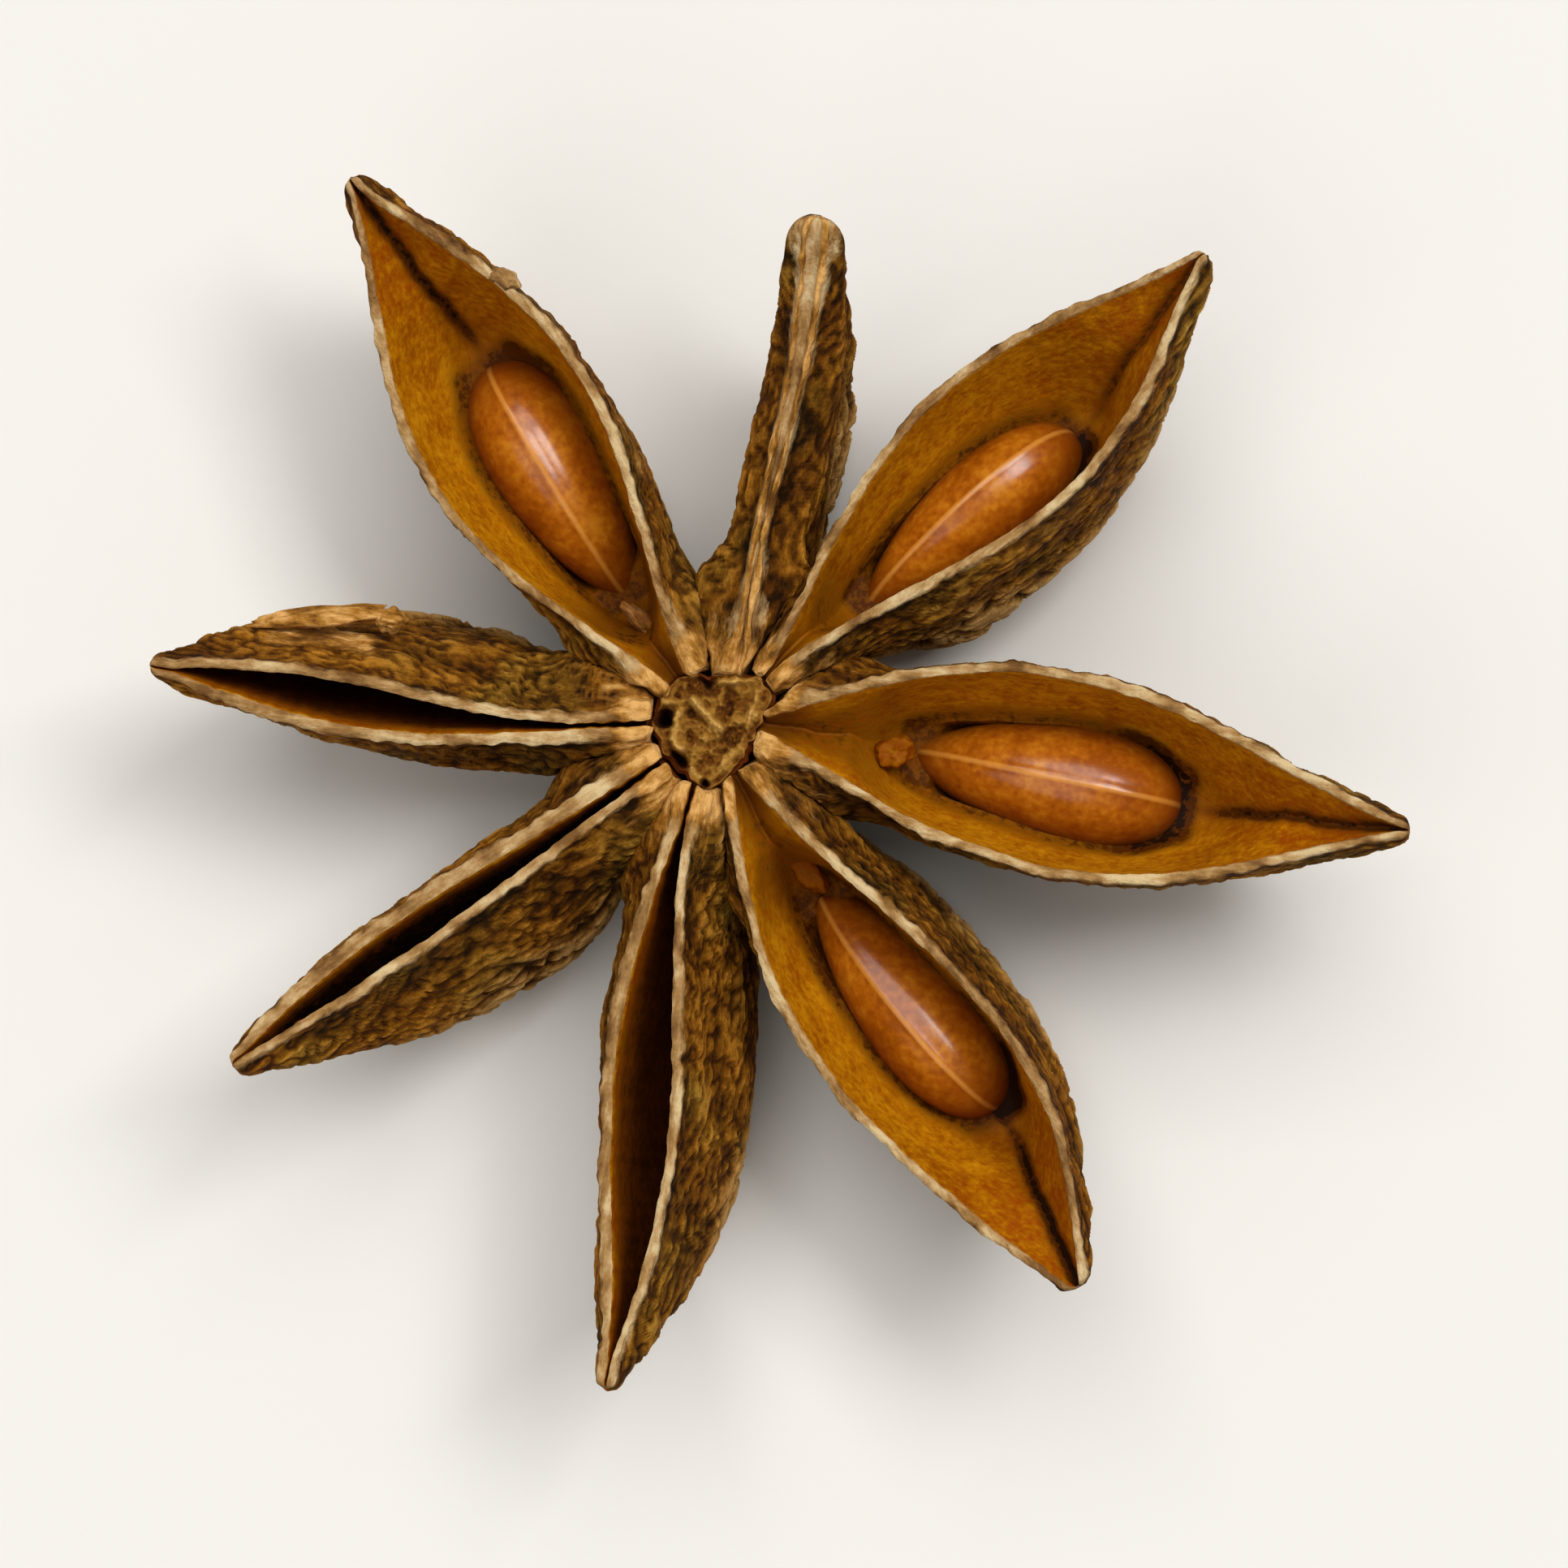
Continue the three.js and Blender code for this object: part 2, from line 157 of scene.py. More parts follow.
FOLLICLES = {
    "carpel_1": dict(
        azimuth=123.8, heel=1.4, reach=17.38, parting=(98, 153), gape=5.3, widest_at=0.52,
        slimness=1.3, heel_gape=0.42, pads=(1, 0.9), shift=0.2, bow=0.2, sway=0.1,
        belly=5, roll=-6, tip_height=8.8, tip_width=0.55, seed=(4.3, 11.65, 3.2, 0),
        crease=2.1, gap=(0.5, 0), torn=((6, 9.8, -1, 0.3, 1.9, 0.6, 0.12),)),
    "carpel_2": dict(
        azimuth=78.2, heel=1.25, reach=13.65, parting=(60, 98), gape=0.1, widest_at=0.5,
        slimness=1, heel_gape=0.03, pads=(0.5, 0.5), shift=-0.3, bow=-0.1, sway=0.1,
        belly=1.9, roll=-6, tip_height=9.6, tip_width=1.4, lift=0.4, shut=True,
        shoulder=0.17, tip_round=0.6, torn=((11.8, 13.65, 1, 0, 1.2, 0.4, 0.1),)),
    "carpel_3": dict(
        azimuth=43.7, heel=1.65, reach=17.94, parting=(28, 60), gape=4.5, widest_at=0.55,
        slimness=1.25, heel_gape=0.16, pads=(0.45, 0.4), shift=0.05, bow=0.15, sway=0.14,
        belly=4.7, roll=-14, tip_height=9.1, tip_width=0.5, seed=(4.9, 12.3, 2.8, 0),
        crease=1.2, gap=(1.4, 0), pitch=-5),
    "carpel_4": dict(
        azimuth=-8.8, heel=1.05, reach=18.57, parting=(-38, 28), gape=5.4, widest_at=0.47,
        slimness=1.25, heel_gape=0.32, pads=(0.7, 1), shift=0.25, bow=0.02, sway=0.1,
        belly=5.1, roll=-2, tip_height=8.4, tip_width=0.6, seed=(5, 12.5, 3.3, 0),
        crease=1.9, gap=(1.1, 1.1)),
    "carpel_5": dict(
        azimuth=-57.3, heel=1.3, reach=17.68, parting=(-86, -38), gape=4.6, widest_at=0.54,
        slimness=0.95, heel_gape=0.25, pads=(0.8, 0.5), shift=-0.3, bow=-0.25, sway=-0.3,
        belly=5.1, roll=11, tip_height=8.6, tip_width=1, seed=(4.9, 12.6, 3.1, -0.05),
        crease=2.4, gap=(0, 2)),
    "carpel_6": dict(
        azimuth=-99.4, heel=1.6, reach=17.79, parting=(-124, -86), gape=1.9, widest_at=0.54,
        slimness=1.5, heel_gape=0.17, pads=(0.5, 0.55), shift=-0.35, bow=-0.25, sway=-0.22,
        belly=4.3, roll=11, tip_height=8.2, tip_width=0.5, lift=0.25, rims=(1.35, 1)),
    "carpel_7": dict(
        azimuth=-144.9, heel=1.65, reach=15.62, parting=(-166, -124), gape=1.1, widest_at=0.6,
        slimness=1.1, heel_gape=0.2, pads=(0.5, 0.6), shift=-0.05, bow=-0.14, sway=0.05,
        belly=4, roll=11, tip_height=8.5, tip_width=0.6, rims=(1.45, 1), crease=2.2),
    "carpel_8": dict(
        azimuth=174.1, heel=1.75, reach=15.08, parting=(153, 194), gape=1.4, widest_at=0.63,
        slimness=1.35, heel_gape=0.16, pads=(0.6, 0.6), shift=0.1, bow=0.52, sway=0.12,
        belly=4.1, roll=-12, tip_height=8.3, tip_width=0.5, lift=0.3, rims=(1.05, 1.25), torn=(
            (8.9, 12.9, -1, 1.2, 2.6, 0.8, 0.1), (2.5, 10.5, -1, 0.1, 1.2, 0.3, 0))),
}
USUAL = dict(
    seed=None, shut=False, lift=0, shoulder=0.5, crease=0.9, tip_round=0.22, torn=(), pitch=1,
    rims=(1, 1), gap=(0, 0))


def follicle(name):
    return SimpleNamespace(**{**USUAL, **FOLLICLES[name]})


def lerp(a, b, t):
    return a + (b - a) * t


def smoothstep(x, low, high):
    t = min(1, max(0, (x - low) / (high - low)))
    return t * t * (3 - 2 * t)


def bell(off, width):
    return exp(-((off / width) ** 2))


def noise_at(*place):
    return noise.noise(Vector(place))


def swell(t, peak, power):
    """0 at both ends and 1 at the fraction peak of the length; a high power is a slim one."""
    return max(0, sin(pi * t ** (log(0.5) / log(peak)))) ** power


def soft_min(a, b, sharpness=6):
    low, high = min(a, b), max(a, b)
    return low - log(1 + exp(-sharpness * (high - low))) / sharpness


def seam_height(f, t):
    dip = HEEL_DROP * (1 - t / 0.4) ** 2 if t < 0.4 else 0
    beak_rise = (f.tip_height - RIM_HEIGHT) * t ** 4
    wave = RIM_WAVE * sin(9 * t + f.azimuth) * sin(pi * t)
    return RIM_HEIGHT - dip + beak_rise + wave


def keel_height(f, t):
    low = f.lift - GROUND_BITE
    if t < KEEL_LOWEST_AT:
        return low + (HEEL_KEEL - low) * (1 - t / KEEL_LOWEST_AT) ** KEEL_HEEL_POWER
    u = (t - KEEL_LOWEST_AT) / (1 - KEEL_LOWEST_AT)
    sweep = 1 + BEAK_SWEEP - BEAK_SWEEP * u ** 2
    return low + (f.tip_height - BEAK_DEPTH - low) * u ** KEEL_BEAK_POWER * sweep


def seam_course(f, t):
    at_column = f.shift * (1 - t) ** 2
    return at_column + f.bow * sin(pi * t) + f.sway * sin(tau * t)


def turn_at(f, t):
    """The body turns about its seam between the column, where it can't, and here."""
    return radians(f.roll) * smoothstep(t, 0, 0.35)


def seed_outline(a):
    """Half width of a seed along its length, -1 to 1: pointed at the heel, rounder outside."""
    heel_point, beak_point = 0.72, 0.44
    if abs(a) >= 1:
        return 0
    widest = (heel_point - beak_point) / (heel_point + beak_point)
    most = (1 + widest) ** heel_point * (1 - widest) ** beak_point
    return (1 + a) ** heel_point * (1 - a) ** beak_point / most


def end_rounding(f, x):
    """How far the section shrinks in the last stretch before the heel and the beak.

    Also gives how blunt the heel is there, 1 at its very end.
    """
    inset, blunt = 0, 0
    for from_end, radius in ((x - f.heel, HEEL_ROUND), (f.reach - x, f.tip_round)):
        if from_end < radius:
            rise = 1 - from_end / radius
            curve = 1 - sqrt(max(0, 1 - rise * rise))
            inset += radius * curve * END_SHRUNK
            blunt = curve if radius == HEEL_ROUND else 0
    return inset, blunt


def spine_at(f, t):
    """The course of the seam, and the turn of the body about it."""
    return SimpleNamespace(
        t=t, x=lerp(f.heel, f.reach, t), turn=turn_at(f, t), course=seam_course(f, t),
        height=seam_height(f, t))


# The rounded triangle of the column's top: azimuth in degrees and distance from the axis.
COLUMN_OUTLINE = (
    (43, 1.75), (67, 1.36), (95, 1.3), (140, 1.6), (172, 1.64), (200, 1.58), (221, 1.66),
    (240, 1.56), (262, 1.58), (312, 1.06), (357, 1.04))


def outline_radius(azimuth):
    """Distance of the column's edge from its axis, in a ragged curve through its points."""
    around = Vector((cos(azimuth), sin(azimuth), 0))
    ragged = 0.12 * noise.noise(around * 2.3) + 0.09 * noise.noise(around * 5.5)
    towards = degrees(azimuth) % 360
    count = len(COLUMN_OUTLINE)
    for i in range(count):
        here, there = COLUMN_OUTLINE[i], COLUMN_OUTLINE[(i + 1) % count]
        span = (there[0] - here[0]) % 360
        if (towards - here[0]) % 360 < span:
            share = smoothstep((towards - here[0]) % 360, 0, span)
            return lerp(here[1], there[1], share) + ragged
    return COLUMN_OUTLINE[0][1]


def heel_end(f, y):
    """How far from the axis the inner end is, at y to the left: it follows the column."""
    x = f.heel
    for _ in range(3):
        reach = outline_radius(radians(f.azimuth) + atan2(y, x)) + COLUMN_CRACK
        x = max(f.heel, sqrt(max(0, reach * reach - y * y)))
    return x


def settle(f, spine, side_offset, down):
    """Turns a section point about the seam and presses it against column and neighbours."""
    turn = spine.turn
    y = spine.course + side_offset * cos(turn) + down * sin(turn)
    z = spine.height + side_offset * sin(turn) - down * cos(turn)
    parted = PARTING_CURVE * max(0, spine.x - PRESSED_LENGTH) ** 2 - NEIGHBOUR_GAP / 2
    right, left = [tan(radians(abs(a - f.azimuth))) for a in f.parting]
    y = soft_min(y, spine.x * left + parted)
    y = -soft_min(-y, spine.x * right + parted)
    flare = 1 - smoothstep(spine.x, f.heel, f.heel + HEEL_FLARE)
    return Vector((spine.x + flare * (heel_end(f, y) - f.heel), y, z))


def seed_frame(f):
    """Where a seed lies: along its hollow, tipped by its pitch and rolled with the body."""
    ends = []
    for x in f.seed[:2]:
        spine = spine_at(f, (x - f.heel) / (f.reach - f.heel))
        ends.append(settle(f, spine, f.seed[3], SEED_SUNK + SEED_HEIGHT / 2))
    middle = (ends[0] + ends[1]) / 2
    course = atan2(ends[1].y - ends[0].y, ends[1].x - ends[0].x)
    turned = Matrix.Rotation(course, 4, "Z") @ Matrix.Rotation(radians(-f.pitch), 4, "Y")
    return Matrix.Translation(middle) @ turned @ Matrix.Rotation(radians(f.roll), 4, "X")


def seed_seat(f, spine):
    """The seed's axis at a section, left of the seam and below it, and its size."""
    start, stop, thickness, _ = f.seed
    along = (spine.x - (start + stop) / 2) / ((stop - start) / 2)
    held = min(1.25, max(-1.25, along))
    axis = seed_frame(f) @ Vector((held * (stop - start) / 2, 0, 0))
    dy, dz = axis.y - spine.course, axis.z - spine.height
    side = dy * cos(spine.turn) + dz * sin(spine.turn)
    down = dy * sin(spine.turn) - dz * cos(spine.turn)
    outline = seed_outline(along)
    return SimpleNamespace(
        along=along, past=max(start - spine.x, spine.x - stop, 0), side=side, down=down,
        half=outline * thickness / 2, high=outline ** SEED_BLUNTNESS * SEED_HEIGHT / 2)


def ring_at(f, t):
    """All that is the same round one section of a follicle."""
    ring = spine_at(f, t)
    ring.depth = (ring.height - keel_height(f, t)) / cos(ring.turn)
    tip_half = f.tip_width / 2
    opening = (f.gape / 2 - f.heel_gape) * swell(t, f.widest_at, f.slimness)
    middle = lerp(f.heel_gape, tip_half * 0.5, t) + opening
    ring.inset, ring.blunt = end_rounding(f, ring.x)
    least = lerp(LEAST_GAP, TIP_GAP, 1 if f.shut else smoothstep(t, 0.9, 1))
    ring.rim_inner = max(middle - RIM_THICKNESS / 2, least)
    rim_share = RIM_OF_SHUT if f.shut else lerp(1, RIM_AT_BEAK, smoothstep(t, 0.8, 1))
    usual_rim = RIM_THICKNESS * rim_share
    fatness = swell(t, BELLY_WIDEST_AT, BELLY_SLIMNESS)
    ring.belly = tip_half + (f.belly / 2 - tip_half) * fatness
    crowded = 1 - smoothstep(ring.x, *CROWDED)
    ring.belly = lerp(ring.belly, CROWDED_BELLY, crowded)
    ring.shoulder = lerp(f.shoulder, CROWDED_SHOULDER, crowded)
    ring.near_heel = 1 - smoothstep(ring.x, f.heel + 0.5, f.heel + PAD_LENGTH)
    ring.rims = [lerp(usual_rim * share, pad, ring.near_heel)
                 for share, pad in zip(f.rims, f.pads)]
    runout = HEEL_FLOOR * max(0, 1 - t / HEEL_RUNOUT) ** 2
    hollow = max(LEAST_GROOVE, ring.depth - FLOOR - runout)
    groove = max(hollow * 0.1, min(hollow, 0.25 + ring.rim_inner * BEAK_GROOVE))
    ring.inside, ring.lean, ring.lip, ring.lip_depth = 0, 0, GROOVE_BOTTOM, groove
    ring.bottom = SEAM_GROOVE if f.shut else hollow
    if f.seed:
        seat = seed_seat(f, ring)
        ring.past, ring.along = seat.past, seat.along
        ring.inside = 1 - smoothstep(seat.past, 0.05, SOCKET_FADE[seat.along > 0])
        foot = f.seed[2] / 2 * WALL_FOOT * exp(-((seat.along / 1.12) ** 4)) * ring.inside
        rise = LIP_RISE * SEED_HEIGHT / 2 * lerp(0.55, 1, (1 - min(1, seat.along ** 2)) ** 2)
        above = min(1, rise / max(rise, seat.high)) ** (2 / SEED_FULLNESS)
        snug = max(0, seat.half * (1 - above) ** (SEED_FULLNESS / 2) - SOCKET_GRIP)
        least = lerp(GROOVE_BOTTOM / 3, GROOVE_BOTTOM, ring.inside)
        ring.lip = sum(width ** LIP_BLEND for width in (snug, foot, least)) ** (1 / LIP_BLEND)
        ring.lip = min(ring.lip, max(0.02, ring.rim_inner * 0.8))
        ring.lip_depth = lerp(groove, seat.down - rise, ring.inside)
        bowl = ring.lip_depth + ring.lip * lerp(0.5, BOWL_BOTTOM, ring.inside)
        under_seed = 1 - smoothstep(abs(seat.along), 0.6, 0.85)
        ring.bottom = lerp(bowl, max(bowl, seat.down + seat.high), under_seed)
        stray = GROOVE_STRAY * noise_at(ring.x * 0.8, f.azimuth, 5)
        stray += GROOVE_STRAY * 0.3 * noise_at(ring.x * 3, f.azimuth, 8)
        ring.lean = lerp(stray * min(1, ring.rim_inner), seat.side, ring.inside)
    ring.fullness = lerp(0.5, 1.15, smoothstep(t, 0.6, 0.85))
    return ring


# ---- round a section ----

PAD_SIDE = 0.8            # the pads reach this far down the outer walls
SLOT_SHADE = 8            # painted shade reddens and darkens the narrow hollows this many times quicker
OUTER_SHARE = 0.7         # of the points round one side: the outer wall ...
RIM_SHARE = 0.07          # ... and the rim; the rest is the hollow
LIP_SHARE = 0.65          # of the hollow's own: from the rim to the lip of the socket


def torn_at(f, x, side, down):
    """How bare the wall is at a place on it, and how much higher."""
    bare, high = 0, 0
    for start, stop, torn_side, top, foot, bareness, height in f.torn:
        if side == torn_side:
            ragged = 0.5 * noise_at(x * 0.9, down * 1.5, f.azimuth)
            share = smoothstep(min(x - start, stop - x) + ragged, 0, 0.7)
            share *= smoothstep(min(down - top, foot - down) + ragged * 0.6, -0.1, 0.22)
            bare, high = max(bare, share * bareness), high + share * height
    return bare, high


def profile(f, ring, side, k):
    """A point of the section at k, 0 on the keel and 1 in the bottom of the hollow.

    Gives its half width, its depth below the seam, and how far it is from the rim's inner
    edge, across the rim and down the outer wall, or less than 0 down the inner wall. The
    last figure is how much it belongs to the pad at the column.
    """
    wander = RIM_WANDER * noise_at(ring.x * 0.7, side * 3.1, f.azimuth)
    wander += RIM_FRAY * noise_at(ring.x * 3.5, side * 3.1, f.azimuth)
    rim_width = ring.rims[side > 0] * (1 - 0.4 * ring.blunt)
    rim_width *= 1 + RIM_UNEVEN * noise_at(ring.x * 0.8, side * 7.7, f.azimuth)
    rim_width *= 1 + RIM_UNEVEN_FINE * noise_at(ring.x * 3, side * 7.7, f.azimuth)
    rim_inner = ring.rim_inner if f.shut else max(LEAST_GAP * 0.5, ring.rim_inner + wander)
    rim_inner += 0.15 * ring.blunt * rim_width
    rim_outer = rim_inner + rim_width
    belly = max(ring.belly, rim_outer * 0.9)
    pad = ring.near_heel + 0.7 * ring.blunt
    band = min(rim_width, lerp(RIM_THICKNESS, rim_width, min(1, pad)))
    if k <= OUTER_SHARE:
        angle = (1 - k / OUTER_SHARE) * pi / 2
        sunk = sin(angle)
        half = lerp(rim_outer, belly, smoothstep(sunk, 0, ring.shoulder))
        half *= max(0, cos(angle)) ** 0.75
        course = sin(8 * angle + FURROW_SLANT * ring.t + f.azimuth)
        half += FURROW_DEPTH * course * sin(2 * angle) * sin(pi * ring.t)
        down = ring.depth * sunk
        edge = band + down
        pad *= 1 - smoothstep(down, 0.05, PAD_SIDE)
        pad = max(pad, 0.5 * (1 - smoothstep(ring.x, f.heel + 0.5, f.heel + 4.5)))
        bare, high = torn_at(f, ring.x, side, down)
        pad = max(pad, bare)
        half += 0.5 * high
        down -= 0.9 * high
    elif k <= OUTER_SHARE + RIM_SHARE:
        q = (k - OUTER_SHARE) / RIM_SHARE
        half = lerp(rim_outer, rim_inner, q)
        crown = SUTURE_CROWN if f.shut else RIM_CROWN * (0.5 + 0.5 * rim_width / RIM_THICKNESS)
        down = -crown * sin(pi * q) ** 0.6
        edge = band * (1 - q)
        if f.shut:
            edge += smoothstep(ring.t, 0.74, 0.96) * RIM_THICKNESS
            pad = 1
    else:
        v = (k - OUTER_SHARE - RIM_SHARE) / (1 - OUTER_SHARE - RIM_SHARE)
        half, down = hollow_point(f, ring, side, rim_inner, v)
        half += side * ring.lean * smoothstep(down, 0, ring.lip_depth)
        edge = 0.1 if f.shut else -down * (1 if f.seed else SLOT_SHADE)
    half *= 1 - min(MOST_NARROWED, ring.inset / max(rim_outer, belly))
    lowered = min(ring.inset, ring.depth * MOST_LOWERED)
    down = lowered + down * (ring.depth - 2 * lowered) / ring.depth
    return half, down, edge, pad


def hollow_point(f, ring, side, rim_inner, v):
    """The inner wall at v, 0 at the rim and 1 along the middle of the floor."""
    if f.seed:
        if v < LIP_SHARE:
            u = v / LIP_SHARE
            gaping = max(0, noise_at(ring.x * 0.9, side * 5, f.azimuth))
            lip = ring.lip + SOCKET_STRAY * gaping * ring.inside
            half = lerp(rim_inner, lip, u ** lerp(1.1, 1.3, ring.inside))
            return half, ring.lip_depth * (1 - (1 - u) ** lerp(1, 1.5, ring.inside))
        angle = (v - LIP_SHARE) / (1 - LIP_SHARE) * pi / 2
        half = ring.lip * max(0, cos(angle)) ** lerp(1, 0.6, ring.inside)
        return half, lerp(ring.lip_depth, ring.bottom, sin(angle))
    angle = v * pi / 2
    turned_away = SLOT_SWELL * (1 + side * f.roll / 12)
    belly = max(min(ring.belly - WALL, rim_inner + turned_away), 0.05)
    belly = rim_inner if f.shut else belly
    half = lerp(rim_inner, belly, smoothstep(sin(angle), 0, 0.5))
    return half * max(0, cos(angle)) ** ring.fullness, ring.bottom * sin(angle)


# ---- wrinkles ----

CRUST_FROM = 3.0          # the skin is smoother above this distance down from the rim ...
CRUST_FULL = 5.4          # ... and a thick wrinkled crust below this one, round the keel
CRUST_FOLD = 0.26         # depth of the creases between its folds, about 1 mm apart
CRUST_GRAIN = 0.1         # and of the small ones
FLANK_FOLD = 0.14         # height of the broad swellings of the flanks
FLANK_RIB = 0.05          # of the fine ribs along them
FLANK_FLECK = 0.055       # and of the small bumps between
BEND = 0.8                # the wrinkles wander by up to this much, so they don't line up

BEAK_REDDER = 0.3         # the lining is deeper in colour by this much at the beak ...
HEEL_REDDER = 0.1         # ... and at the heel, as painted shade


def lining_tone(f, t):
    """0.5 is the usual tone of the lining, and less is redder and darker."""
    # The narrow hollows are darker all over, and the heel darker too: painted shade.
    if not f.seed:
        return 0.5 - BEAK_REDDER
    heel = 1 - smoothstep(t, 0.1, 0.3)
    return 0.5 - BEAK_REDDER * smoothstep(t, 0.6, 0.9) - HEEL_REDDER * heel


def bent(place):
    """The place pushed about smoothly."""
    coarse = place * 0.45
    offsets = [noise.noise(coarse + Vector((0, 0, far))) for far in (11, 37, 71)]
    return place + BEND * Vector(offsets)


def wrinkle(place, edge):
    """Height of the dried skin at a place in a follicle's own frame, its tone, its crust."""
    x, y, z = bent(place)
    crust = smoothstep(edge + 2.2 * noise.noise(place * 0.32), CRUST_FROM, CRUST_FULL)
    swelling = noise_at(x * 0.28, y * 0.8, z * 0.8)
    fold = min(1, 3.4 * abs(noise_at(x * 0.6, y * 1.35, z * 1.35 + 31)))
    small = min(1, 3.6 * abs(noise_at(x * 1.5, y * 2.9, z * 2.9 + 7)))
    rib = max(0, 1 - 4 * abs(noise_at(x * 0.4, y * 2.4, z * 2.4 + 19)))
    thick = CRUST_FOLD * (fold ** 0.8 - 0.6) + CRUST_GRAIN * (small ** 0.8 - 0.6)
    thin = FLANK_FOLD * swelling + FLANK_RIB * (rib - 0.3) + 0.15 * thick + FLANK_FLECK * small
    # The tone is darker in the creases and paler on the swellings and ribs, partly painted shade
    # and light that follow the relief.
    flank_tone = 0.4 + 0.26 * swelling + 0.16 * rib + 0.42 * (small - 0.6)
    tone = lerp(flank_tone, fold * (0.55 + 0.45 * small), crust)
    return lerp(thin, thick + 0.1 * swelling, crust), min(1, max(0, tone)), crust


CREASE_WIDTH = 0.17       # of the painted shade in the fold between the seed and the tip ...
HEEL_CREASE_WIDTH = 0.9   # ... and of the one between the seed and the column ...
HEEL_CREASE = 0.6         # ... and how dark the painted shade in that one is
HEEL_CORNER = 4.8         # painted shade darkens the whole hollow over this length towards the column ...
CORNER_SHADE = 1.1         # ... by this much
SEAT_SHADE = 1.1           # painted shade of the lining close to the seed, in the crevice round it ...
PAST_SEED = 0.1           # ... and the share of it that is left past the seed's ends


def painted_shade_at(f, ring, side, away, edge):
    """How much painted shade darkens the lining, at a distance away from the middle of the
    hollow.
    """
    sunk = max(0, -edge)
    if not f.seed:
        return f.crease * smoothstep(sunk, 0.8, 10)
    width, darkness = HEEL_CREASE_WIDTH, HEEL_CREASE
    if ring.t > 0.4:
        width, darkness = CREASE_WIDTH, f.crease
    fold = darkness * bell(away, width) * smoothstep(sunk, 0.05, 0.3)
    fold *= 1 - ring.inside ** (4 if ring.along > 0 else 1)
    seat = SEAT_SHADE + f.gap[side > 0] * smoothstep(ring.along, 0.45, 0.75)
    seat *= ring.inside * lerp(1, PAST_SEED, smoothstep(ring.past, 0, 0.6))
    painted_shade = fold + seat * smoothstep(sunk / ring.lip_depth, 0.76, 1)
    corner = 1 - smoothstep(ring.x, f.heel + 1.2, f.heel + HEEL_CORNER)
    return max(painted_shade, CORNER_SHADE * corner * smoothstep(sunk, 0.1, 1))


# ---- meshes ----

DETAIL = 1
HUSK_ALONG = round(186 * DETAIL)
HUSK_AROUND = 2 * round(132 * DETAIL)
CLOSER_ROWS = 0.28        # the rows of points are closer by this share at the ends
COLUMN_AXIS = sum(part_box("column"), Vector()) / 2
HUB = Matrix.Translation((COLUMN_AXIS.x, COLUMN_AXIS.y, 0)) @ Matrix.Scale(MM, 4)


def arm_matrix(f):
    """From a follicle's own frame, in millimetres, to the row frame."""
    return HUB @ Matrix.Rotation(radians(f.azimuth), 4, "Z")


def float_layers(bm, *names):
    """Adds vertex attributes, which the materials read by these names."""
    return [bm.verts.layers.float.new(name) for name in names]


def new_object(name, data):
    made = bpy.data.objects.new(name, data)
    bpy.context.scene.collection.objects.link(made)
    return made


def mesh_object(name, bm, material):
    mesh = bpy.data.meshes.new(name)
    bm.to_mesh(mesh)
    bm.free()
    mesh.materials.append(material)
    return new_object(name, mesh)


def finish_mesh(name, bm, material, replaced=None, flat_caps=False):
    """Makes a piece of a bmesh that is in the row frame."""
    for face in bm.faces:
        face.smooth = not (flat_caps and face.tag)
    piece = mesh_object(name, bm, material)
    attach(piece, "root")
    if replaced:
        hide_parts(replaced)


def close_ends(bm):
    """Caps the two open ends of a tube with flat faces."""
    rims = [edge for edge in bm.edges if edge.is_boundary]
    caps = bmesh.ops.holes_fill(bm, edges=rims, sides=0)["faces"]
    for face in bmesh.ops.triangulate(bm, faces=caps)["faces"]:
        face.tag = True


def make_husk(name, material):
    f = follicle(name)
    bm = bmesh.new()
    bmesh.ops.create_grid(bm, x_segments=HUSK_ALONG, y_segments=HUSK_AROUND, size=0.5)
    edge_layer, relief_layer, painted_shade_layer, pad_layer, crust_layer = float_layers(
        bm, "edge", "relief", "painted_shade", "pad", "crust")
    own_layer = bm.verts.layers.float_vector.new("own")
    rings = {}
    for vert in bm.verts:
        u = vert.co.x + 0.5
        row = round(u * HUSK_ALONG)
        if row not in rings:
            rings[row] = ring_at(f, u - CLOSER_ROWS * sin(tau * u) / tau)
        ring = rings[row]
        w = vert.co.y + 0.5
        side = 1 if w <= 0.5 else -1
        half, down, edge, pad = profile(f, ring, side, 2 * min(w, 1 - w))
        vert.co = settle(f, ring, side * half, down)
        vert[edge_layer] = edge
        vert[pad_layer] = pad
        vert[painted_shade_layer] = painted_shade_at(f, ring, side, half - side * ring.lean, edge)
        vert[own_layer] = vert.co + Vector((0, 0, f.azimuth))
        vert[relief_layer] = lining_tone(f, ring.t)
    bmesh.ops.remove_doubles(bm, verts=bm.verts, dist=1e-4)
    close_ends(bm)
    bmesh.ops.recalc_face_normals(bm, faces=bm.faces)
    bm.normal_update()
    pushed = []
    for vert in bm.verts:
        edge = vert[edge_layer]
        height, lump = 0, 0
        if edge > 0:
            height, vert[relief_layer], vert[crust_layer] = wrinkle(vert[own_layer], edge)
            lump = PAD_LUMP * noise.noise(vert[own_layer] * 1.9) * vert[pad_layer]
        calm = lerp(1, 0.45, vert[pad_layer]) * smoothstep(edge, RIM_THICKNESS * 0.7, 1.1)
        pushed.append(height * calm + lump)
    for vert, height in zip(list(bm.verts), pushed):
        vert.co += vert.normal * height
        vert.co.z = max(0, vert.co.z)
    bmesh.ops.transform(bm, matrix=arm_matrix(f), verts=bm.verts)
    finish_mesh(name + "_husk", bm, material, name, flat_caps=True)


SEED_AROUND = round(120 * DETAIL)
SEED_ALONG = round(90 * DETAIL)
RAPHE_HEIGHT = 0.06       # of the fine raised line along a seed
RAPHE_WIDTH = 0.1


def fuller(value):
    """Pushes one coordinate of the round section outwards, by SEED_FULLNESS."""
    return copysign(abs(value) ** SEED_FULLNESS, value)


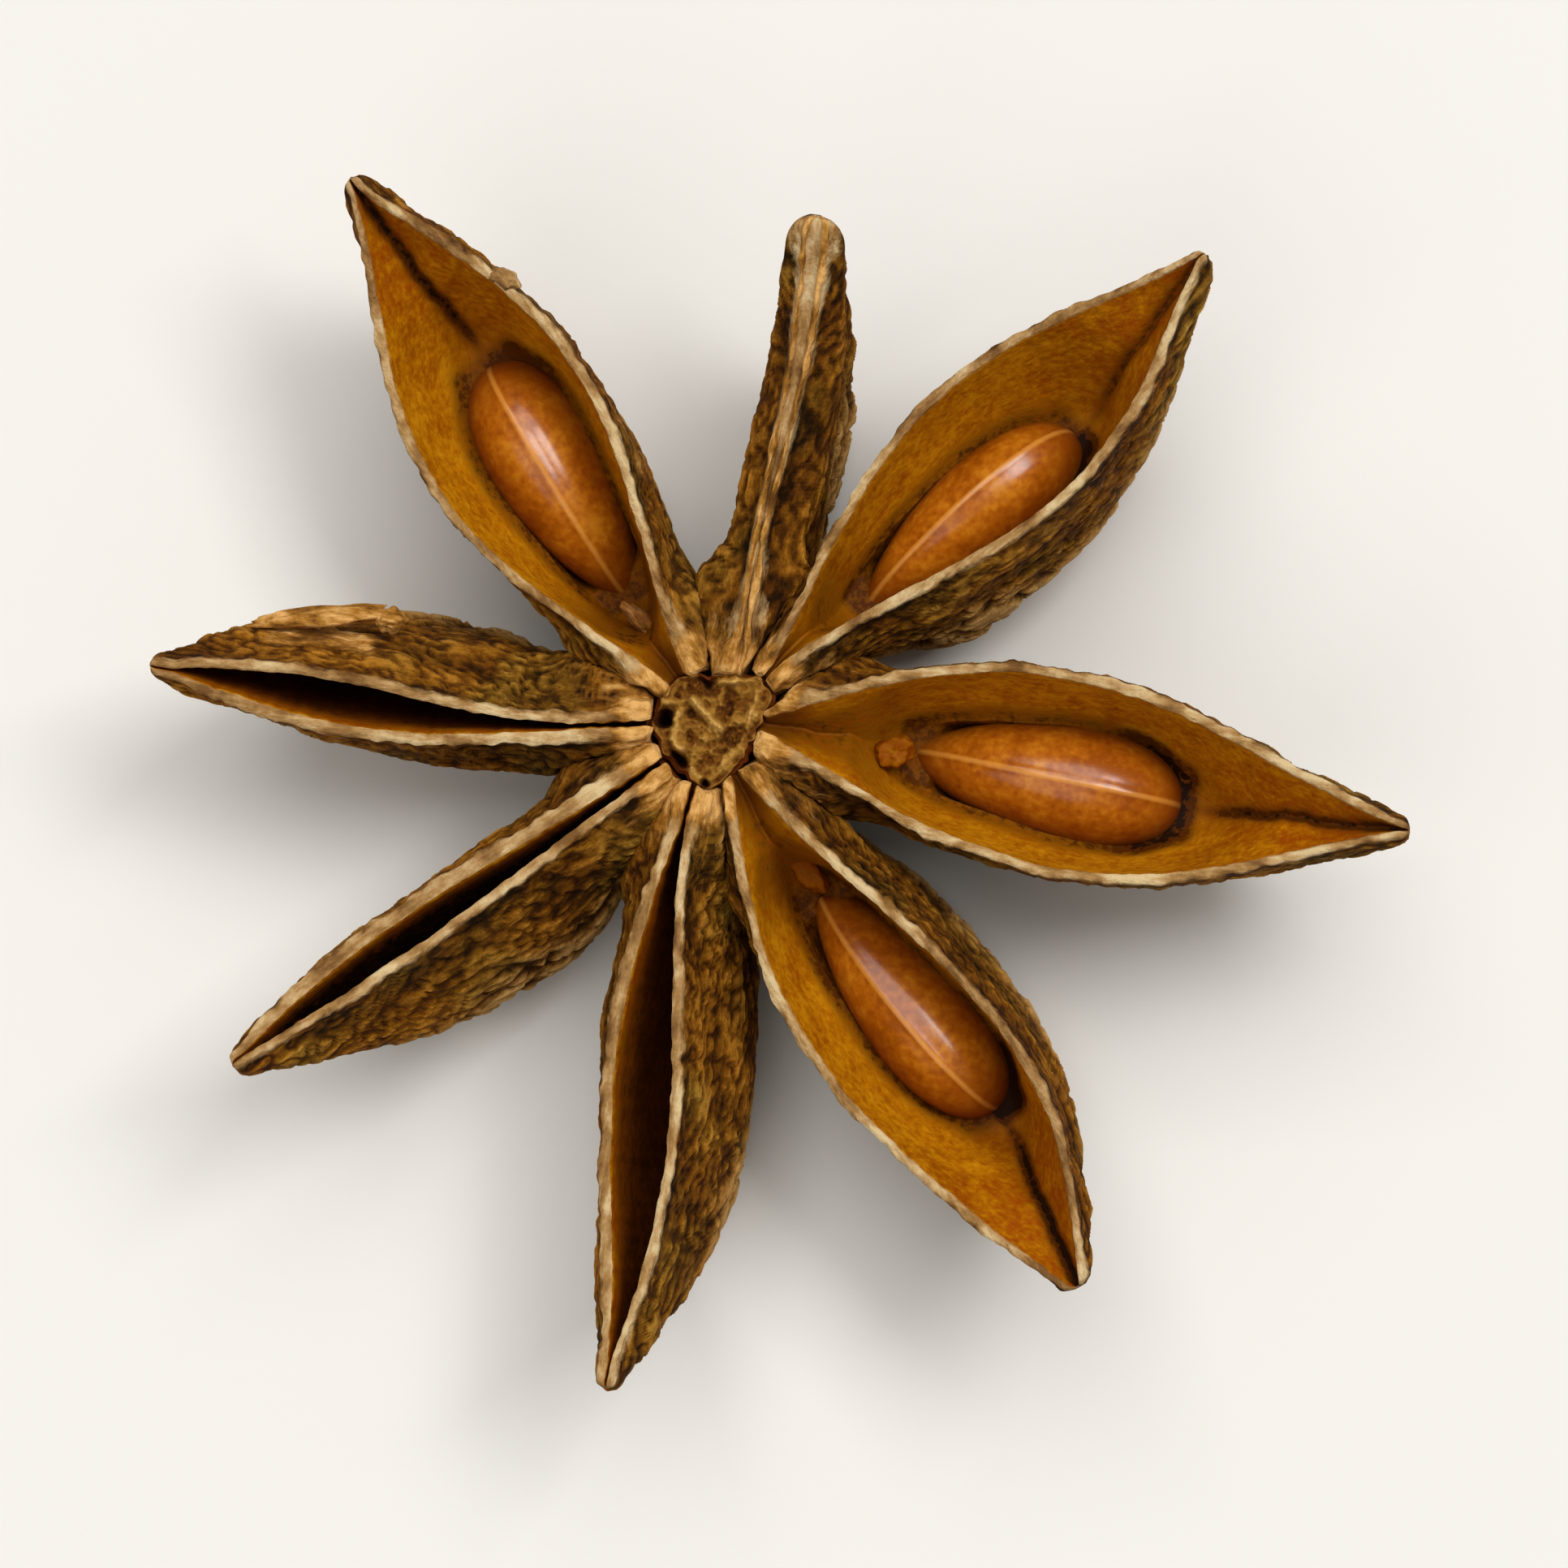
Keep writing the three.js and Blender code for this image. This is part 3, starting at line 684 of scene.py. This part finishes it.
def make_seed(name, material):
    f = follicle(name.replace("seed", "carpel"))
    start, stop, thickness, _ = f.seed
    bm = bmesh.new()
    bmesh.ops.create_uvsphere(bm, u_segments=SEED_AROUND, v_segments=SEED_ALONG, radius=1)
    raphe_layer, along_layer = float_layers(bm, "raphe", "along")
    for vert in bm.verts:
        a = max(-1, min(1, vert.co.z))
        spread = sqrt(max(1e-12, 1 - a * a))
        across, up = vert.co.y / spread, -vert.co.x / spread
        outline = seed_outline(a)
        y = fuller(across) * outline * thickness / 2
        z = fuller(up) * outline ** SEED_BLUNTNESS * SEED_HEIGHT / 2
        off_line = y - 0.05 * sin(2.2 * a + f.azimuth) * thickness / 3
        if up > 0:
            z += RAPHE_HEIGHT * bell(off_line, RAPHE_WIDTH) * min(1, outline * 1.6)
            z -= SEED_ROOF * min(SEED_ROOF_HALF, abs(off_line)) * up
        vert[raphe_layer] = off_line if up > 0 else 9
        vert[along_layer] = a
        vert.co = Vector((a * (stop - start) / 2, y, z))
    bmesh.ops.transform(bm, matrix=arm_matrix(f) @ seed_frame(f), verts=bm.verts)
    bmesh.ops.recalc_face_normals(bm, faces=bm.faces)
    finish_mesh(name + "_seed", bm, material, name)


# Dried bits that sit in and on the follicles: distance from the column, to the left, down from
# the seam, half lengths along, across and up, degrees turned to the left, and where on the
# husk its tissue would be: the distance edge, how much pad, how much painted shade.
SCRAPS = {
    "stalk_of_seed_1": ("carpel_1", 3.5, -0.12, 1.9, (0.7, 0.24, 0.35), 12, (-0.03, 0.45, 0)),
    "stalk_of_seed_4": ("carpel_4", 4.7, -0.12, 2.6, (0.56, 0.44, 0.45), 15, (-0.4, 0.12, 0.35)),
    "stalk_of_seed_5": ("carpel_5", 4.5, 0.2, 2.8, (0.7, 0.34, 0.4), 0, (-4, 0, 0.4)),
    "rolled_skin": ("carpel_8", 10.8, -1.84, 1.8, (1.95, 0.27, 0.3), 11, (0.05, 1, 0)),
    "rolled_skin_end": ("carpel_8", 9.0, -2.12, 1.85, (0.4, 0.34, 0.36), 0, (0.05, 1, 0)),
    "crumb_on_rim": ("carpel_1", 12.95, -2.02, 0.02, (0.42, 0.28, 0.24), 30, (0.05, 0, 0))}


def make_scrap(name, material):
    """A small lump of dried tissue."""
    home, x, left, down, size, turn, tissue = SCRAPS[name]
    f = follicle(home)
    bm = bmesh.new()
    bmesh.ops.create_uvsphere(bm, u_segments=48, v_segments=32, radius=1)
    edge_layer, pad_layer, painted_shade_layer, relief_layer = float_layers(
        bm, "edge", "pad", "painted_shade", "relief")
    own_layer = bm.verts.layers.float_vector.new("own")
    spine = spine_at(f, (x - f.heel) / (f.reach - f.heel))
    place = Matrix.Translation(settle(f, spine, left, down))
    turned = Matrix.Rotation(radians(turn), 4, "Z")
    for vert in bm.verts:
        lumps = 1 + 0.4 * noise.noise(vert.co * 1.3 + Vector((x, down, 0)))
        lumps += 0.16 * noise.noise(vert.co * 3.2 + Vector((x, down, 3)))
        vert.co = place @ turned @ Vector([c * half * lumps for c, half in zip(vert.co, size)])
        vert[edge_layer], vert[pad_layer], vert[painted_shade_layer] = tissue
        vert[relief_layer] = 0.25
        vert[own_layer] = vert.co
    bmesh.ops.transform(bm, matrix=arm_matrix(f), verts=bm.verts)
    finish_mesh(name, bm, material)


COLUMN_TOP = 6.95
COLUMN_AROUND = round(180 * DETAIL)
COLUMN_ALONG = round(120 * DETAIL)
COLUMN_DIP = 0.22         # the top is lower by this much between its ridges
# Ridges on the top, each from one place to another, with its height and half width.
COLUMN_RIDGES = (
    (-0.65, 0.67, 0.07, -0.05, 0.34, 0.13),
    (0.07, 1.16, 1.29, 1.25, 0.26, 0.1),
    (1.1, 0.9, 0.72, -0.3, 0.16, 0.1),
    (0.6, -0.6, -0.1, -1.4, 0.2, 0.13),
    (-1.19, -0.32, -0.5, -1.38, 0.28, 0.13),
    (-1.0, 0.49, -1.15, -0.3, 0.24, 0.15),
    (-1.6, 0.62, -0.95, 0.6, 0.2, 0.13),
    (0.07, -0.05, 0.75, 0.1, 0.12, 0.1))
# Holes beside them, with their half widths.
COLUMN_HOLES = (
    (-1.42, 0.2, 0.2), (-1.0, -0.95, 0.21), (-0.24, 1.26, 0.14), (-0.4, -1.6, 0.12))
HOLE_DEPTH = 1.2
NECK = 0.1                # the column is this much thicker below its top
FOOT_RADIUS = 1.95
SCAR_RADIUS = 1.1


def column_relief(x, y):
    """Height of the column's top at a place, without its holes, and how deep in one."""
    height = -COLUMN_DIP
    for x1, y1, x2, y2, rise, width in COLUMN_RIDGES:
        run, here = Vector((x2 - x1, y2 - y1)), Vector((x - x1, y - y1))
        along = min(1, max(0, here.dot(run) / run.length_squared))
        away = (here - run * along).length
        height = max(height, -COLUMN_DIP + rise * bell(away, width))
    for scale, rough in ((2.2, 0.2), (5, 0.14), (10, 0.08)):
        height += rough * noise_at(x * scale, y * scale, scale)
    hole = 0
    for hole_x, hole_y, width in COLUMN_HOLES:
        away = hypot(x - hole_x, y - hole_y) + 0.2 * noise_at(x * 3, y * 3, 1)
        hole = max(hole, bell(away, width))
    return height, hole


def column_point(azimuth, v):
    """Radius and height, for v from the middle of the stalk's scar to that of the top."""
    around = Vector((cos(azimuth), sin(azimuth), 3))
    edge = outline_radius(azimuth) + 0.16 * noise.noise(around * 4.5)
    stages = (
        (0, 0, 0.45), (0.1, SCAR_RADIUS * 0.8, 0.5), (0.14, SCAR_RADIUS, 0.75),
        (0.22, FOOT_RADIUS, 0.95), (0.3, FOOT_RADIUS * 0.9, 1.3), (0.4, edge + NECK, 2.4),
        (0.54, edge + NECK, COLUMN_TOP - 0.5), (0.57, edge, COLUMN_TOP - 0.38),
        (0.62, edge, COLUMN_TOP - 0.06), (0.64, edge * 0.96, COLUMN_TOP), (1, 0, COLUMN_TOP))
    for low, high in zip(stages, stages[1:]):
        if v <= high[0]:
            share = (v - low[0]) / (high[0] - low[0])
            return lerp(low[1], high[1], share), lerp(low[2], high[2], share)
    return 0, COLUMN_TOP


def make_column(material):
    bm = bmesh.new()
    bmesh.ops.create_grid(bm, x_segments=COLUMN_AROUND, y_segments=COLUMN_ALONG, size=0.5)
    relief_layer, crack_layer = float_layers(bm, "relief", "crack")
    for vert in bm.verts:
        azimuth = (vert.co.x + 0.5) * tau
        v = vert.co.y + 0.5
        radius, z = column_point(azimuth, v)
        x, y = radius * cos(azimuth), radius * sin(azimuth)
        on_top = smoothstep(v, 0.58, 0.68)
        relief, hole = column_relief(x, y)
        inside = on_top * smoothstep(outline_radius(azimuth) - radius, -0.02, 0.06)
        z += (relief - HOLE_DEPTH * hole) * inside
        rough = noise_at(x * 2, y * 2, z * 1.2) * (1 - on_top)
        swellings = 1 + 0.06 * rough
        # Paler on the ridges and darker in the dips, partly painted light and shade, and dark in
        # the holes as painted shade.
        tone = min(1, max(0.15, (relief + 0.34) / 0.5)) - 1.2 * hole
        vert[relief_layer] = lerp(0.5 + rough, tone, on_top)
        # The side in the crack by the follicles' inner ends, to be red brown: partly painted
        # shade.
        vert[crack_layer] = smoothstep(z, 1.6, 2.4) * smoothstep(COLUMN_TOP - z, 0.05, 0.3)
        vert[crack_layer] *= 1 - on_top
        vert.co = Vector((x * swellings, y * swellings, z))
    bmesh.ops.remove_doubles(bm, verts=bm.verts, dist=1e-4)
    bmesh.ops.recalc_face_normals(bm, faces=bm.faces)
    bmesh.ops.transform(bm, matrix=HUB, verts=bm.verts)
    finish_mesh("column_core", bm, material, "column")


# ---- materials ----

def linear(colour):
    """sRGB hex to the linear colour that a shader takes."""
    parts = [int(colour[i:i + 2], 16) / 255 for i in (1, 3, 5)]
    return [c / 12.92 if c <= 0.04045 else ((c + 0.055) / 1.055) ** 2.4 for c in parts] + [1]


def feed(tree, node, inputs):
    """Gives each input of a node its value or hex colour, or the output that feeds it."""
    for name, value in inputs.items():
        if isinstance(value, bpy.types.NodeSocket):
            tree.links.new(value, node.inputs[name])
        else:
            value = linear(value) if isinstance(value, str) else value
            node.inputs[name].default_value = value


def add(tree, kind, inputs={}, stops=(), out=None, **settings):
    """Adds a node, and gives its output of that name, or else the first one in use."""
    node = tree.nodes.new("ShaderNode" + kind)
    for name, value in settings.items():
        setattr(node, name, value)
    feed(tree, node, inputs)
    while 0 < len(stops) > len(node.color_ramp.elements):
        node.color_ramp.elements.new(1)
    for i, (place, colour) in enumerate(stops):
        node.color_ramp.elements[i].position = place
        node.color_ramp.elements[i].color = linear(colour)
    return node.outputs[out] if out else next(o for o in node.outputs if o.enabled)


def new_material(name):
    """A material, its node tree and its shader, which already feeds the output."""
    material = bpy.data.materials.new(name)
    material.use_nodes = True
    tree = material.node_tree
    return material, tree, tree.nodes["Principled BSDF"]


def husk_material():
    """Dried woody fruit wall: fibrous wrinkled bark, a pale cut rim and a satin lining."""
    material, tree, shader = new_material("dried_woody_husk")
    edge, relief, painted_shade, pad, crust = [
        add(tree, "Attribute", attribute_name=name, out="Fac")
        for name in ("edge", "relief", "painted_shade", "pad", "crust")]
    own = add(tree, "Attribute", attribute_name="own", out="Vector")

    # The attribute own is in millimetres, so these scales are patterns per millimetre.
    drawn = add(tree, "VectorMath", {0: own, 1: (0.3, 1, 1)}, operation="MULTIPLY")
    fibre, worn, grain, satin, blotch = [
        add(tree, "TexNoise", {
            "Vector": place, "Scale": scale, "Detail": detail, "Roughness": roughness})
        for place, scale, detail, roughness in (
            (drawn, 3.6, 5, 0.65), (own, 1.1, 3, 0.6), (own, 4.5, 4, 0.65),
            (own, 0.9, 5, 0.65), (own, 0.35, 3, 0.5))]

    # The bark is dark in its furrows, partly painted shade, and darker still along the rims as
    # painted shade, in brown and grey-brown patches, and tan on the crust round the keel.
    tone = add(tree, "Math", {0: fibre, 1: 0.7, 2: -0.35}, operation="MULTIPLY_ADD")
    tone = add(tree, "Math", {0: grain, 1: 0.7, 2: tone}, operation="MULTIPLY_ADD")
    tone = add(tree, "Math", {0: tone, 1: relief}, operation="ADD")
    # Painted shade: darker just below the rims.
    shaded = add(tree, "MapRange", {
        "Value": edge, "From Min": 0.3, "From Max": 1.1, "To Min": 0.46, "To Max": 0.31})
    tone = add(tree, "Math", {0: tone, 1: shaded}, operation="SUBTRACT")
    flank, grey, tanned = [add(tree, "ValToRGB", {"Fac": tone}, stops=stops) for stops in (
        ((0.1, "#1f0e00"), (0.35, "#442302"), (0.6, "#6c4006"), (0.9, "#a26b1e")),
        ((0.1, "#1a1001"), (0.35, "#3d2604"), (0.6, "#65450e"), (0.9, "#9c752c")),
        ((0.05, "#1c1004"), (0.3, "#472a0c"), (0.55, "#7d5524"), (0.9, "#ae864c")))]
    patches = add(tree, "MapRange", {"Value": blotch, "From Min": 0.46, "From Max": 0.68})
    bark = flank
    for share, over in ((patches, grey), (crust, tanned)):
        bark = add(tree, "Mix", {"Factor": share, "A": bark, "B": over}, data_type="RGBA")

    # The cut rims are pale and worn, and the pads at the column ochre with dark borders.
    pale = add(tree, "Math", {0: worn, 1: 0.9, 2: -0.45}, operation="MULTIPLY_ADD")
    pale = add(tree, "Math", {0: fibre, 1: pale}, operation="ADD")
    varied = add(tree, "Math", {0: blotch, 1: -0.5}, operation="ADD")
    varied = add(tree, "Math", {0: varied, 1: pale}, operation="ADD")
    rim = add(tree, "ValToRGB", {"Fac": varied}, stops=(
        (0.25, "#6e4c28"), (0.45, "#967142"), (0.58, "#ae8d5f"), (0.74, "#c4ab7e")))
    border = add(tree, "Math", {0: pad, 1: 0.3, 2: pale}, operation="MULTIPLY_ADD")
    pads = add(tree, "ValToRGB", {"Fac": border}, stops=(
        (0.56, "#5e3a12"), (0.74, "#9a6828"), (0.94, "#cf9e5c")))

    # The lining is ochre velvet, with painted shade: darker and redder with depth and at the
    # heel, brown by the seed and along the folds, and black cracks where the folds are deepest.
    velvet = add(tree, "Math", {0: grain, 1: 1.2, 2: -0.6}, operation="MULTIPLY_ADD")
    velvet = add(tree, "Math", {0: velvet, 1: satin}, operation="ADD")
    hue = add(tree, "Math", {0: velvet, 1: -0.5}, operation="ADD")
    hue = add(tree, "Math", {0: hue, 1: relief}, operation="ADD")
    lining = add(tree, "ValToRGB", {"Fac": hue}, stops=(
        (0.06, "#8c4000"), (0.3, "#9a5800"), (0.5, "#b06e02"), (0.72, "#c3840a")))
    # Painted shade of the hollow, deeper down and at the heel.
    depth_shade = add(tree, "MapRange", {
        "Value": edge, "From Min": -8, "From Max": -1.4, "To Min": 1, "To Max": 0})
    heel_shade = add(tree, "Math", {0: pad, 1: 0.75}, operation="MULTIPLY")
    # Painted shade by the seed and in the folds, and black painted shade of cracks where it is
    # deepest.
    fold_and_seat_shade = add(tree, "Math", {0: velvet, 1: 1.5}, operation="MULTIPLY")
    fold_and_seat_shade = add(tree, "Math", {0: fold_and_seat_shade, 1: painted_shade}, operation="MULTIPLY", use_clamp=True)
    torn = add(tree, "Math", {0: grain, 1: 2.4, 2: painted_shade}, operation="MULTIPLY_ADD")
    torn = add(tree, "MapRange", {"Value": torn, "From Min": 3.1, "From Max": 3.3})
    for share, over in (
            (depth_shade, "#864200"), (heel_shade, "#5c2a04"), (fold_and_seat_shade, "#4a2300"), (torn, "#1e0b00")):
        lining = add(tree, "Mix", {"Factor": share, "A": lining, "B": over}, data_type="RGBA")

    frayed = add(tree, "Math", {0: pale, 1: -0.35, 2: edge}, operation="MULTIPLY_ADD")
    to_bark = add(tree, "MapRange", {"Value": frayed, "From Min": 0.06, "From Max": 0.22})
    on_pad = add(tree, "Math", {0: fibre, 1: 1.2, 2: pad}, operation="MULTIPLY_ADD")
    on_pad = add(tree, "MapRange", {"Value": on_pad, "From Min": 0.95, "From Max": 1.4})
    to_lining = add(tree, "MapRange", {"Value": edge, "From Max": -0.06})
    colour = rim
    for share, over in ((to_bark, bark), (on_pad, pads), (to_lining, lining)):
        colour = add(tree, "Mix", {"Factor": share, "A": colour, "B": over}, data_type="RGBA")
    rough = add(tree, "MapRange", {"Value": to_lining, "To Min": 0.85, "To Max": 0.62})
    grit = add(tree, "MapRange", {
        "Value": to_lining, "To Min": 0.09 * MM, "To Max": 0.025 * MM})
    height = add(tree, "Math", {0: grain, 1: fibre}, operation="ADD")
    bump = add(tree, "Bump", {"Height": height, "Distance": grit})
    feed(tree, shader, {
        "Base Color": colour, "Roughness": rough, "IOR": 1.45, "Specular IOR Level": 0.08,
        "Normal": bump})
    return material


def seed_material():
    """Hard polished seed coat: orange brown, with painted shade towards the margins and ends,
    and a pale raphe.
    """
    material, tree, shader = new_material("polished_seed_coat")
    place = add(tree, "TexCoord", out="Object")
    raphe, along = [add(tree, "Attribute", attribute_name=name, out="Fac")
                    for name in ("raphe", "along")]
    cloud = add(tree, "TexNoise", {"Vector": place, "Scale": 1 / (1.2 * MM), "Detail": 3})
    fine = add(tree, "TexNoise", {"Vector": place, "Scale": 1 / (0.22 * MM), "Detail": 3})
    mottle = add(tree, "Math", {0: fine, 1: 0.8, 2: -0.4}, operation="MULTIPLY_ADD")
    mottle = add(tree, "Math", {0: mottle, 1: cloud}, operation="ADD")
    coat = add(tree, "ValToRGB", {"Fac": mottle}, stops=(
        (0.3, "#8a4402"), (0.52, "#a35907"), (0.74, "#b87214")))
    # Painted shade: darker at the ends and to the margins, where the coat turns down into the
    # socket.
    ends = add(tree, "Math", {0: along}, operation="ABSOLUTE")
    ends = add(tree, "MapRange", {"Value": ends, "From Min": 0.55})
    away = add(tree, "Math", {0: raphe}, operation="ABSOLUTE")
    margin_shade = add(tree, "MapRange", {
        "Value": away, "From Min": 0.6, "From Max": 1.4, "To Max": 0.5})
    line = add(tree, "MapRange", {
        "Value": away, "From Min": 0.03, "From Max": 0.1, "To Min": 0.45, "To Max": 0})
    for share, over in ((ends, "#7e3a04"), (margin_shade, "#763002"), (line, "#d8963c")):
        coat = add(tree, "Mix", {"Factor": share, "A": coat, "B": over}, data_type="RGBA")
    grit = add(tree, "Math", {0: fine, 1: 0.45, 2: cloud}, operation="MULTIPLY_ADD")
    bump = add(tree, "Bump", {"Height": grit, "Distance": 0.02 * MM})
    feed(tree, shader, {
        "Base Color": coat, "Roughness": 0.5, "IOR": 1.45, "Specular IOR Level": 0.07,
        "Coat Weight": 0.75, "Coat Roughness": 0.21, "Normal": bump})
    return material


def column_material():
    """Dried pith, dull and corky: tan ridges, olive brown between and red brown in the crack,
    all partly painted light and shade, and holes darkened as painted shade.
    """
    material, tree, shader = new_material("dried_pith")
    place = add(tree, "TexCoord", out="Object")
    relief, crack = [add(tree, "Attribute", attribute_name=name, out="Fac")
                     for name in ("relief", "crack")]
    grain = add(tree, "TexNoise", {
        "Vector": place, "Scale": 1 / (0.25 * MM), "Detail": 4, "Roughness": 0.65})
    tone = add(tree, "Math", {0: grain, 1: -0.5}, operation="ADD")
    tone = add(tree, "Math", {0: tone, 1: relief}, operation="ADD")
    pith = add(tree, "ValToRGB", {"Fac": tone}, stops=(
        (0, "#2a1405"), (0.22, "#61370e"), (0.55, "#906626"), (0.95, "#c0944e")))
    # Red brown in the crack by the follicles, partly painted shade.
    pith = add(tree, "Mix", {"Factor": crack, "A": pith, "B": "#7a3a12"}, data_type="RGBA")
    bump = add(tree, "Bump", {"Height": grain, "Distance": 0.12 * MM})
    feed(tree, shader, {
        "Base Color": pith, "Roughness": 0.95, "Specular IOR Level": 0.05, "Normal": bump})
    return material


def floor_material():
    """Matt white table top."""
    material, tree, shader = new_material("matt_table")
    feed(tree, shader, {"Base Color": "#d6d3cd", "Roughness": 0.7})
    return material


# ---- camera, lights and floor ----

CAMERA_FROM_POD = Vector((14.9, -10, 300)) * MM
CAMERA_LENS = 258
FLOOR_RADIUS = 0.9


def make_stage():
    bm = bmesh.new()
    bmesh.ops.create_circle(bm, cap_ends=True, segments=96, radius=FLOOR_RADIUS)
    mesh_object("table_top", bm, floor_material())


def make_camera():
    data = bpy.data.cameras.new("camera")
    data.lens = CAMERA_LENS
    data.clip_start = 0.01
    camera = new_object("camera", data)
    low, high = CAD_BOX
    aim = (low + high) / 2
    back = CAMERA_FROM_POD.normalized()
    right = Vector((0, 1, 0)).cross(back).normalized()
    turned = Matrix((right, back.cross(right), back)).transposed().to_4x4()
    camera.matrix_world = Matrix.Translation(aim + CAMERA_FROM_POD) @ turned
    bpy.context.scene.camera = camera


def soft_light(name, azimuth, elevation, distance, width, height, power):
    """A soft box that looks at the pod; metres and watts."""
    data = bpy.data.lights.new(name, "AREA")
    data.shape = "RECTANGLE"
    data.size, data.size_y = width, height
    data.energy = power
    lamp = new_object(name, data)
    a, e = radians(azimuth), radians(elevation)
    way = Vector((cos(a) * cos(e), sin(a) * cos(e), sin(e)))
    lamp.location = way * distance
    lamp.rotation_euler = (-way).to_track_quat("-Z", "Y").to_euler()
    lamp.visible_camera = False


HORIZON = 0.88            # brightness of the world at the level of the table ...
ZENITH = 0.3              # ... and overhead


def make_light():
    # The studio's pale walls are brightest at the level of the table, where its edge ends.
    world = bpy.data.worlds.new("studio")
    world.use_nodes = True
    tree = world.node_tree
    way = add(tree, "TexCoord", out="Generated")
    up = add(tree, "SeparateXYZ", {"Vector": way}, out="Z")
    wall = add(tree, "MapRange", {
        "Value": up, "From Min": 0.05, "From Max": 0.45, "To Min": HORIZON, "To Max": ZENITH
    }, interpolation_type="SMOOTHSTEP")
    feed(tree, tree.nodes["Background"], {"Color": "#f2f0ec", "Strength": wall})
    bpy.context.scene.world = world
    soft_light("window", 35, 58, 3, 1.3, 0.9, 48)
    soft_light("overhead", 95, 66, 3.5, 2.5, 2.5, 76)
    soft_light("fill", 225, 58, 3.2, 2.5, 2.5, 22)
    bpy.context.scene.view_settings.view_transform = "Standard"


def make_pod():
    husk, coat = husk_material(), seed_material()
    for name in FOLLICLES:
        make_husk(name, husk)
        if "seed" in FOLLICLES[name]:
            make_seed(name.replace("carpel", "seed"), coat)
    for name in SCRAPS:
        make_scrap(name, husk)
    make_column(column_material())


make_stage()
make_camera()
make_light()
make_pod()
